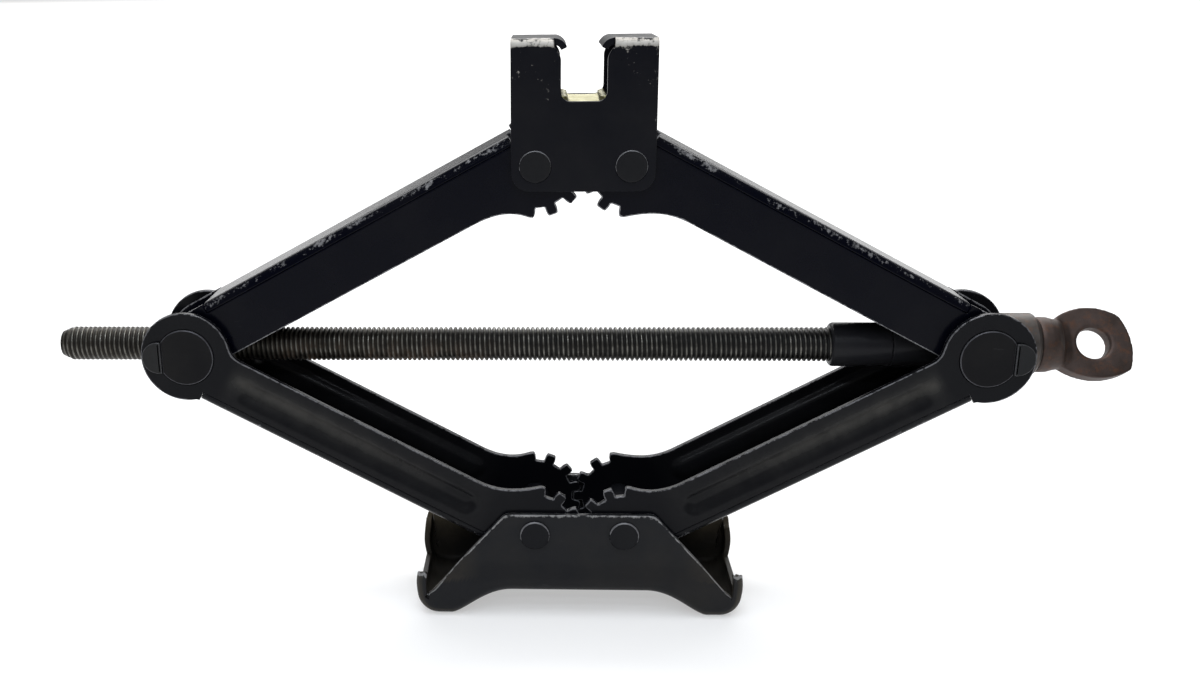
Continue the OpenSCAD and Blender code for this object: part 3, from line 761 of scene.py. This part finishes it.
def forged_eye():
    """Neck that flattens into the crank eye, joined and softened like a forging."""
    reach, hole, flare, half_thickness, turn = 47 * MM, 6.5 * MM, 0.8 * MM, 3.25 * MM, radians(32)
    # the eye's top, underside and end are shallow arcs: centre and radius from the hole's centre
    arcs = [(-1.2, -7.7, 22.5), (1.0, 10.3, 24.9), (-10.2, -2.7, 25.3)]
    ring = []
    for a in np.linspace(0, 2 * pi, 120, endpoint=False):
        c, s = cos(a), sin(a)
        r = 14.0 / -c if c < -1e-6 else 1e9
        for ax, az, radius in arcs:
            along = c * ax + s * az
            r = min(r, along + sqrt(along ** 2 - ax ** 2 - az ** 2 + radius ** 2))
        ring.append((reach + r * MM * c, r * MM * s))
    ring = soften(np.array(ring), 0.5 * MM, 0.5 * MM)
    v2, f2 = triangulate(ring, [circle(reach, 0, hole + flare, 48)], 1.1 * MM)
    verts = [(p[0], y, p[1]) for y in (-half_thickness, half_thickness) for p in v2]
    n = len(v2)
    faces = [tuple(f) for f in f2] + [tuple(n + i for i in f[::-1]) for f in f2]
    edges = dict.fromkeys(e for f in f2 for e in ((f[0], f[1]), (f[1], f[2]), (f[2], f[0])))
    inner = {}
    for i, p in enumerate(v2):
        if abs(hypot(p[0] - reach, p[1]) - hole - flare) < 0.01 * MM:
            inner[i] = len(verts)
            x, z = reach + (p[0] - reach) * hole / (hole + flare), p[1] * hole / (hole + flare)
            verts += [(x, flare - half_thickness, z), (x, half_thickness - flare, z)]
    for a, b in edges:
        if (b, a) in edges:
            continue
        if a in inner and b in inner:
            p, q = inner[a], inner[b]
            faces += [(b, a, p, q), (q, p, p + 1, q + 1), (q + 1, p + 1, n + a, n + b)]
        else:
            faces.append((b, a, n + a, n + b))

    def lean(x, y, z):
        """The eye's face leans back about the screw's axis."""
        c, s = cos(turn), sin(turn)
        return side_x + x, y * c + z * s, side_z + z * c - y * s

    verts = [lean(*v) for v in verts]
    mesh = bpy.data.meshes.new("eye")
    mesh.from_pydata(verts, [], faces)
    obj = bpy.data.objects.new("crank_eye", mesh)
    bpy.context.scene.collection.objects.link(obj)
    neck_v, neck_f = [], []
    # neck: round at the cup, flattening and narrowing into the eye
    stations = [(24.0, 11.0, 11.0), (25.5, 11.3, 11.3), (28.5, 11.2, 11.2), (31.0, 10.5, 10.5),
                (33.0, 8.4, 10.1), (35.0, 5.0, 10.0), (38.0, 3.3, 10.4)]
    seg = 48
    for x, ry, rz in stations:
        for k in range(seg):
            a = 2 * pi * k / seg
            c, s = cos(a), sin(a)
            e = 2.0 + max(0.0, (x - 31) / 9) * 1.5
            neck_v.append(lean(x * MM, ry * MM * copysign(abs(s) ** (2 / e), s),
                               rz * MM * copysign(abs(c) ** (2 / e), c)))
    for i in range(len(stations) - 1):
        for k in range(seg):
            q = (k + 1) % seg
            neck_f.append((i * seg + k, (i + 1) * seg + k, (i + 1) * seg + q, i * seg + q))
    neck_f.append(tuple(range(seg)))
    neck_f.append(tuple(((len(stations) - 1) * seg + k) for k in range(seg))[::-1])
    neck = bpy.data.meshes.new("neck")
    neck.from_pydata(neck_v, [], neck_f)
    bm = bmesh.new()
    bm.from_mesh(mesh)
    bm.from_mesh(neck)
    bmesh.ops.recalc_face_normals(bm, faces=bm.faces)
    bm.to_mesh(mesh)
    bm.free()
    remesh = obj.modifiers.new("forge", "REMESH")
    remesh.mode = "VOXEL"
    remesh.voxel_size = 0.45 * MM
    smooth = obj.modifiers.new("soft", "SMOOTH")
    smooth.factor = 0.5
    smooth.iterations = 5
    dg = bpy.context.evaluated_depsgraph_get()
    done = bpy.data.meshes.new_from_object(obj.evaluated_get(dg))
    bpy.data.objects.remove(obj)
    return [tuple(v.co) for v in done.vertices], [tuple(p.vertices) for p in done.polygons]


eye_v, eye_f = forged_eye()
new_object("lead_screw_crank_eye", eye_v, eye_f, "screw", "lead_screw", eye_steel, flat_normals=False)


def turned(name, profile, origin, axis, body, material):
    """Turned piece from rows of (millimetres along the axis, radius in millimetres, worn paint and painted
    highlight).
    """
    segments = 72
    v, f = lathe([(a * MM, r * MM) for a, r, _ in profile], origin, axis, segments)
    wear = [w for _, _, w in profile for _ in range(segments)]
    return new_object(name + "_turned", v, f, body, name, material, wear)


screw_parts = {
    "stop_sleeve": (sleeve_black, [(-58, 7.1, 0), (-58, 8.0, 0.2), (-57.4, 8.7, 0.45), (-56.6, 9.0, 0.2),
                                   (-34.6, 9.0, 0.2), (-34.05, 8.6, 0.5), (-34.05, 7.1, 0)]),
    "spacer_sleeve": (sleeve_black, [(-34, 7.1, 0), (-34, 8.7, 0.45), (-33.5, 9.0, 0.2), (-12.3, 9.0, 0.2),
                                     (-11.8, 8.7, 0.3), (-11.8, 7.1, 0)]),
    "thrust_cup": (cup_steel, [(10.2, 11.8, 0), (10.2, 12.6, 0), (10.5, 12.9, 0), (21.9, 12.9, 0),
                               (22.3, 12.75, 0), (23.9, 11.1, 0), (24.1, 10.7, 0), (24.1, 7.1, 0),
                               (17.1, 7.1, 0), (17.0, 11.8, 0)]),
}
for name, (material, profile) in screw_parts.items():
    turned(name, profile, (side_x, 0, side_z), (1, 0, 0), "screw", material)


# ---------------------------------------------------------------- pins, trunnions and keys
def pin(name, side, z, body, rounding, ring_wear_and_highlight):
    """A pin whose ends are rounded, with a light ring of worn paint and painted highlight on the rounding."""
    e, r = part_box(name)[1].y / MM, pin_r / MM
    near = [(-e, 0.01, 0.1), (-e, r - 2 * rounding, 0.1)]
    for a in np.linspace(0, pi / 2, 6):
        wear = 0.25 + (ring_wear_and_highlight - 0.25) * sin(2 * a)
        near.append((rounding * (1 - cos(a)) - e, r - rounding * (1 - sin(a)), wear))
    obj = turned(name, both_sides(near, []), (side * half_spacing, 0, z), (0, 1, 0), body, pin_paint)
    # painted highlight: the ring is made brightest at its top, where the rounding faces the lights above
    for vertex, value in zip(obj.data.vertices, obj.data.attributes["wear"].data):
        value.value *= 0.72 + 0.28 * (vertex.co.z - z) / pin_r


for side, word in SIDES:
    pin("base_pin_" + word, side, foot_z, "base", 0.8, 0.85)
    pin("saddle_pin_" + word, side, saddle_z, "saddle", 0.5, 0.8)


def offset_ring(ring, distance):
    """A closed anticlockwise outline moved inwards."""
    d1 = ring - np.roll(ring, 1, axis=0)
    d2 = np.roll(ring, -1, axis=0) - ring
    n1, n2 = (np.c_[-d[:, 1], d[:, 0]] / np.maximum(np.linalg.norm(d, axis=1), 1e-12)[:, None]
              for d in (d1, d2))
    n = n1 + n2
    n /= np.maximum(np.linalg.norm(n, axis=1), 1e-9)[:, None]
    return ring + n * (distance / np.maximum((n * n1).sum(1), 0.6))[:, None]


def prism_y(name, ring, y_low, y_high, body, replaced, material, edge, ring_wear_and_highlight):
    """An outline in X and Z extruded along Y, with rounded edges whose light rings are worn paint and painted
    highlight.
    """
    ring = np.array(ring)
    area = np.sum(ring[:, 0] * np.roll(ring[:, 1], -1) - ring[:, 1] * np.roll(ring[:, 0], -1))
    if area < 0:
        ring = ring[::-1]
    # the rounded edge's ring is lighter: worn paint and a painted highlight
    loops = [(2.2 * edge, 0, 0.08)]
    loops += [(edge * (1 - sin(a)), edge * (1 - cos(a)), 0.2 + (ring_wear_and_highlight - 0.2) * sin(2 * a))
              for a in np.linspace(0, pi / 2, 6)]
    loops = [(inset, y_low + along, w) for inset, along, w in loops] + \
            [(inset, y_high - along, w) for inset, along, w in loops[::-1]]
    verts = [(p[0], y, p[1]) for inset, y, _ in loops for p in offset_ring(ring, inset)]
    wear = [w for _, _, w in loops for _ in ring]
    n, rows = len(ring), len(loops)
    faces = [tuple(range(n)), tuple(range(rows * n - 1, (rows - 1) * n - 1, -1))]
    faces += [(i * n + k, (i + 1) * n + k, (i + 1) * n + (k + 1) % n, i * n + (k + 1) % n)
              for i in range(rows - 1) for k in range(n)]
    new_object(name, verts, faces, body, replaced, material, wear)


def closed_by_flat(side, offset, r, start, stop, count, flat_count):
    """Outline of a round on one trunnion's axis, or offset outwards from it, closed by a straight flat."""
    points = [(side * (side_x + x), side_z + z) for x, z in arc(offset, 0, r, start, stop, count)]
    return np.vstack([points, np.linspace(points[-1], points[0], flat_count)[1:-1]])


key_offset, key_r = 10.8 * MM, 6.5 * MM
for side, prefix, body in ((-1, "nut", "nut_block"), (1, "bearing", "bearing_block")):
    flat_angle = acos(trunnion_flat / trunnion_r)
    bar = closed_by_flat(side, 0, trunnion_r, flat_angle, 2 * pi - flat_angle, 90, 14)
    prism_y(prefix + "_trunnion_bar", bar, -trunnion_half, trunnion_half, body, prefix + "_trunnion",
            trunnion_paint, 0.6 * MM, 0.85)
    key_angle = acos((trunnion_flat - key_offset) / key_r)
    for word in ("front", "rear"):
        node = f"{prefix}_key_{word}"
        lo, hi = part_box(node)
        key = closed_by_flat(side, key_offset, key_r, -key_angle, key_angle, 44, 12)
        prism_y(node + "_stamped", key, lo.y, hi.y, body, node, key_paint, 0.5 * MM, 0.7)


# ---------------------------------------------------------------- foot
def along_line(points, fraction):
    """The point at a fraction of a polyline's length."""
    p = np.asarray(points, float)
    d = distances(p)
    return np.array([np.interp(fraction * d[-1], d, p[:, 0]), np.interp(fraction * d[-1], d, p[:, 1])])


def foot():
    """Floor, two side plates and four corner lips pressed from one sheet."""
    plate_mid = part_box("base_bracket")[1].y - sheet / 2
    flare, bend_z, arch, h, bend, toe = 3.2 * MM, 26.4 * MM, 11 * MM, sheet / 2, 3.4 * MM, 8 * MM
    half_length = 68 * MM
    lean, lean_from, lean_over = 0.7 * MM, 33 * MM, 24 * MM  # the plates' low part leans inwards near the ends
    top_z = foot_z + 8.9 * MM
    path = [np.array([0, arch + h])]
    path += list(bezier((28 * MM, arch + h), (40 * MM, arch + h), (46 * MM, 2.5 * MM + h), (53 * MM, h), 22))
    for degrees in np.linspace(-90, -8, 14):
        a = radians(degrees)
        path.append(np.array([half_length - h - toe + toe * cos(a), toe + h + toe * sin(a)]))
    fine = resample(np.array(path), 1.1 * MM, closed=False)
    normal, length = left_normals(fine), distances(fine)
    spread_x = 45 * MM
    spread = np.interp(spread_x, fine[:, 0], length)

    def wall_y(x, z):
        t = np.clip((bend_z - z) / (bend_z - arch), 0, 1)
        e = np.clip((abs(x) - lean_from) / lean_over, 0, 1)
        return plate_mid - flare + flare * t * t * (3 - 2 * t) - lean * e * e * (3 - 2 * e) * t

    def top_line(rear):
        end = (64.5 * MM, 27.4 * MM) if rear else (60.5 * MM, 12 * MM)
        last = fine[-1] + normal[-1] * bend + np.array([0, 0.7 * MM])
        line = [(0, top_z), (28.6 * MM, top_z), (30.4 * MM, top_z - 0.25 * MM), (31.8 * MM, top_z - 1.0 * MM),
                (33.2 * MM, top_z - 2.6 * MM)]
        z_spread = np.interp(spread_x, [line[-1][0], end[0]], [line[-1][1], end[1]])
        near = np.array(line + [(spread_x, z_spread)])
        far = [(spread_x, z_spread), end]
        if rear:
            far += [(end[0] + 0.4 * MM, end[1] - 2 * MM)]
        return near, np.array(far), last

    rows_wall, rows_bend, rows_floor = 14, 6, 24
    m = 2 * (rows_wall + rows_bend) + rows_floor + 1

    def column(i, rear):
        """One station's points from the wall's top to the start of the floor, for one side of the foot."""
        p, n = fine[i], normal[i]
        near, far, last = top_line(rear)
        if p[0] <= spread_x:
            top = np.array([p[0], np.interp(p[0], near[:, 0], near[:, 1])])
        else:
            f = (length[i] - spread) / (length[-1] - spread)
            corner = 0.5 if rear else 0.62
            top = (along_line(far, f / corner) if f < corner
                   else far[-1] + (last - far[-1]) * (f - corner) / (1 - corner))
        low = p + n * bend
        sign = 1 if rear else -1
        out = []
        # the plate's top row is a thin light line: worn paint and a painted highlight along the edge
        for k in range(rows_wall):
            q = top + (low - top) * k / rows_wall
            out.append(((q[0], sign * wall_y(q[0], q[1]), q[1]), 0.58 if k == 0 else 0.32 if k == 1 else 0.05))
        y0 = wall_y(low[0], low[1])
        for k in range(rows_bend):
            a = pi / 2 * k / rows_bend
            q = p + n * bend * (1 - sin(a))
            out.append(((q[0], sign * (y0 - bend * (1 - cos(a))), q[1]), 0.12))
        return out, y0 - bend

    verts, wear = [], []
    stations = [(i, -1) for i in range(len(fine) - 1, 0, -1)] + [(i, 1) for i in range(len(fine))]
    for i, side in stations:
        (front, yf), (rear, yr) = column(i, False), column(i, True)
        middle = [((fine[i][0], -yf + (yf + yr) * k / rows_floor, fine[i][1]), 0.05)
                  for k in range(rows_floor + 1)]
        for (x, y, z), w in front + middle + rear[::-1]:
            verts.append((side * x, y, z))
            wear.append(w)
    count = len(stations)
    faces = [(i * m + j, (i + 1) * m + j, (i + 1) * m + j + 1, i * m + j + 1)
             for i in range(count - 1) for j in range(m - 1)]
    # corner lips: the floor's end goes on upwards near each side plate
    for end, side in ((0, -1), (count - 1, 1)):
        for front in (True, False):
            lip_top = (19.4 if front else 26.5) * MM
            cols = list(range(rows_wall, rows_wall + rows_bend + 3))
            if not front:
                cols = [m - 1 - c for c in cols][::-1]
            previous = [end * m + j for j in cols]
            steps = 8 if front else 13
            for s in range(1, steps + 1):
                t = s / steps
                now = []
                for q, j in enumerate(cols):
                    x, y, z = verts[end * m + j]
                    inner = q / (len(cols) - 1) if front else 1 - q / (len(cols) - 1)
                    height = (lip_top - z) * (1 - 0.3 * inner ** 2)
                    jag = 0.5 * MM * sin(q * 2.1 + 1.3 * side) * t ** 3
                    now.append(len(verts))
                    bulge = side * (0.8 if front else 1.3) * MM * sin(t * pi) * 0.6
                    verts.append((x + bulge, y, z + height * t + jag))
                    wear.append(0.15 + (0.55 if front else 0.35) * t ** 3)
                for a in range(len(cols) - 1):
                    quad = (previous[a], now[a], now[a + 1], previous[a + 1])
                    faces.append(quad if side > 0 else quad[::-1])
                previous = now
    verts, faces, wear = thicken(verts, faces, wear, sheet)
    v = np.asarray(verts)
    ends = np.clip((np.abs(v[:, 0]) - 40 * MM) / (16 * MM), 0, 1)
    within = (np.abs(v[:, 1]) < plate_mid) & (v[:, 2] > 1.6 * MM)
    rear_top = np.clip((v[:, 2] - 12 * MM) / (12 * MM), 0, 1) * (v[:, 1] > 0)
    dust = ends * within * (0.35 + 0.65 * rear_top)
    new_object("base_bracket_sheet", verts, faces, "base", "base_bracket", foot_paint, wear, dust)


foot()


# ---------------------------------------------------------------- saddle
def with_mirror(points):
    """A line of points, then its mirror image in X from its end back to its start."""
    points = np.asarray(points)
    return np.vstack([points, points[::-1] * (-1, 1)])


def saddle():
    """Two side plates joined by the jaws' top flanges, whose ends curl into the notch."""
    lo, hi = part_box("saddle_bracket")
    half, outer_y = hi.x, hi.y
    low, high = lo.z, hi.z
    notch, corner, notch_corner = 8.7 * MM, 7 * MM, 3.5 * MM
    floor = saddle_z + 24.4 * MM
    mid_y = outer_y - sheet / 2
    bend, curl_r = 2.2 * MM, 4 * MM
    top_mid = high - sheet / 2
    join_z = top_mid - bend
    inner_x = -notch - 2.6 * MM
    n = 12
    xs = np.linspace(-half, inner_x, n + 1)
    jaw = [(inner_x, join_z), (inner_x + 0.6 * MM, join_z), (-notch - 0.5 * MM, join_z - 2.4 * MM),
           (-notch, join_z - 4 * MM), (-notch, floor + notch_corner)]
    jaw += [(-notch + notch_corner * (1 - cos(a)), floor + notch_corner * (1 - sin(a)))
            for a in np.linspace(0, pi / 2, 8)[1:]]
    lower = [(half, join_z), (half, low + corner)]
    lower += [(half - corner * (1 - cos(a)), low + corner * (1 - sin(a)))
              for a in np.linspace(0, pi / 2, 9)[1:]]
    notch_line = soften(with_mirror(jaw), 0.4 * MM, 0.4 * MM, closed=False)
    lower_line = soften(with_mirror(lower), 0.5 * MM, 0.4 * MM, closed=False)
    left_line = [(x, join_z) for x in xs[:-1]]
    right_line = [(-x, join_z) for x in xs[-2::-1]]
    outline = np.vstack([left_line, notch_line, right_line, lower_line[1:-1]])[::-1]
    holes = [circle(s * half_spacing, saddle_z, pin_r - 0.1 * MM, 48) for s in (-1, 1)]
    v2, f2 = triangulate(outline, holes, 1.1 * MM)
    rim = ring_distance(v2, outline)
    up = np.clip((v2[:, 1] - (high - 9 * MM)) / (7 * MM), 0, 1)
    value = np.maximum(np.clip(1 - rim / (0.9 * MM), 0, 1) * (0.38 + 0.1 * up), 0.52 * up ** 3)
    shell = Shell()
    for y, turned_round in ((-mid_y, False), (mid_y, True)):
        shell.add(np.c_[v2[:, 0], np.full(len(v2), y), v2[:, 1]], f2, value, turned_round)
    for s in (-1, 1):
        rows = [(-mid_y, join_z, 0.56)]
        for k in range(1, 7):
            a = k * pi / 14
            rows.append((-mid_y + bend * (1 - cos(a)), join_z + bend * sin(a),
                         0.62 - 0.1 * (k / 6) ** 2))
        flat_ys = np.linspace(-mid_y + bend, mid_y - bend, 14)
        rows = both_sides(rows, [(y, top_mid, 0.44) for y in flat_ys])
        line = [(x, y, z) for x in (xs if s < 0 else -xs) for y, z, _ in rows]
        shell.add(line, grid_faces(n + 1, len(rows)), [r[2] for _ in xs for r in rows], s < 0)
        # curled end of the top flange
        curl = [(inner_x, top_mid)]
        for degrees in (78, 66, 54, 42, 30, 20):
            a = radians(degrees)
            curl.append((inner_x + curl_r * cos(a), top_mid - curl_r + curl_r * sin(a)))
        ys = np.r_[[-mid_y + 0.1 * MM], flat_ys, [mid_y - 0.1 * MM]]
        points = [((x if s < 0 else -x), y, z) for x, z in curl for y in ys]
        fade = [max(0.2, 0.44 - 0.08 * i) for i in range(len(curl)) for _ in ys]
        shell.add(points, grid_faces(len(curl), len(ys)), fade, s < 0)
    verts, faces, wear = shell.solid()
    new_object("saddle_bracket_sheet", verts, faces, "saddle", "saddle_bracket", saddle_paint, wear)


saddle()


def cradle():
    """Plated channel in the notch, ribbed across like a washboard."""
    lo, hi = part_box("saddle_insert")
    half = 8.1 * MM
    floor = saddle_z + 24.4 * MM
    section = [(-half + 0.1 * MM, floor + 1.9 * MM), (-half + 0.05 * MM, floor + 1.5 * MM)]
    section += [(-half + 3 * MM + 3 * MM * cos(a), floor + 1.8 * MM + 3 * MM * sin(a) - 0.6 * MM)
                for a in np.linspace(pi, 1.5 * pi, 8)]
    section += [(0, floor - 1.9 * MM)]
    section = resample(with_mirror(section), 0.7 * MM, closed=False)
    normal = left_normals(section)
    ys = np.linspace(lo.y + 0.2 * MM, hi.y - 0.2 * MM, 90)
    verts = []
    for y in ys:
        rib = 0.55 * MM * cos(2 * pi * y / (6.2 * MM)) + 0.6 * MM
        for p, q in zip(section, normal):
            verts.append((p[0] + q[0] * rib, y, p[1] + q[1] * rib))
    faces = grid_faces(len(ys), len(section))
    verts, faces, _ = thicken(verts, faces, np.zeros(len(verts)), 1.6 * MM, 0.3 * MM)
    new_object("saddle_insert_plated", verts, faces, "saddle", "saddle_insert", zinc)


cradle()


# ---------------------------------------------------------------- floor, light and camera
def stage():
    mesh = bpy.data.meshes.new("floor")
    reach = 40.0  # its far edge lies above the picture
    mesh.from_pydata([(-reach, -reach, 0), (reach, -reach, 0), (reach, reach, 0), (-reach, reach, 0)], [],
                     [(0, 1, 2, 3)])
    floor = bpy.data.objects.new("floor", mesh)
    bpy.context.scene.collection.objects.link(floor)
    n = Nodes("floor_pale")
    n.finish((0.54, 0.54, 0.54), 0.9, 0.0, specular=0.1)
    n.shader.inputs["Emission Color"].default_value = (1, 1, 1, 1)
    n.shader.inputs["Emission Strength"].default_value = 0.45
    mesh.materials.append(n.material)
    world = bpy.data.worlds.new("studio")
    world.use_nodes = True
    background = world.node_tree.nodes["Background"].inputs
    background["Color"].default_value = (1, 1, 1, 1)
    background["Strength"].default_value = 0.25
    bpy.context.scene.world = world
    bpy.context.scene.view_settings.view_transform = "Standard"


def area(name, place, target, size, size_y, power, colour=(1, 1, 1)):
    """A rectangular soft light at place that faces target, in metres and watts."""
    light = bpy.data.lights.new(name, "AREA")
    light.shape = "RECTANGLE"
    light.size, light.size_y = size, size_y
    light.energy = power
    light.color = colour
    obj = bpy.data.objects.new(name, light)
    obj.location = place
    obj.rotation_euler = (Vector(target) - Vector(place)).to_track_quat("-Z", "Y").to_euler()
    bpy.context.scene.collection.objects.link(obj)


def look():
    """Camera in front of the jack, a little left of its middle and above it."""
    place = Vector((-14.2, -497.2, 256.6)) * MM
    yaw, pitch, roll = (radians(a) for a in (-2.906, 17.38, -0.715))
    forward = Vector((sin(yaw) * cos(pitch), cos(yaw) * cos(pitch), -sin(pitch)))
    right = Vector((cos(yaw), -sin(yaw), 0))
    up = right.cross(forward)
    right, up = cos(roll) * right + sin(roll) * up, cos(roll) * up - sin(roll) * right
    data = bpy.data.cameras.new("camera")
    data.sensor_width = 36
    data.lens = 37.5
    data.shift_x, data.shift_y = 0.0959, 0.0200
    data.clip_start = 0.02
    camera = bpy.data.objects.new("camera", data)
    camera.matrix_world = Matrix.Translation(place) @ Matrix((right, up, -forward)).transposed().to_4x4()
    bpy.context.scene.collection.objects.link(camera)
    bpy.context.scene.camera = camera


stage()
area("overhead", (0.0, 0.30, 1.9), (0, 0.30, 0.0), 1.2, 0.9, 20)
for k, y in enumerate((-0.30, -0.62, -1.0, -1.55)):
    area(f"strip_{k}", (-0.1, y, 1.5 - 0.12 * k), (0, 0.0, 0.1), 1.2, 0.05, 3.7, colour=(0.86, 0.92, 1.0))
area("back_wash", (0.0, 4.2, 3.6), (0, 4.0, 0.0), 7.0, 3.2, 330)
area("far_wash", (0.0, 13.0, 5.0), (0, 13.0, 0.0), 18.0, 10.0, 1300)
look()
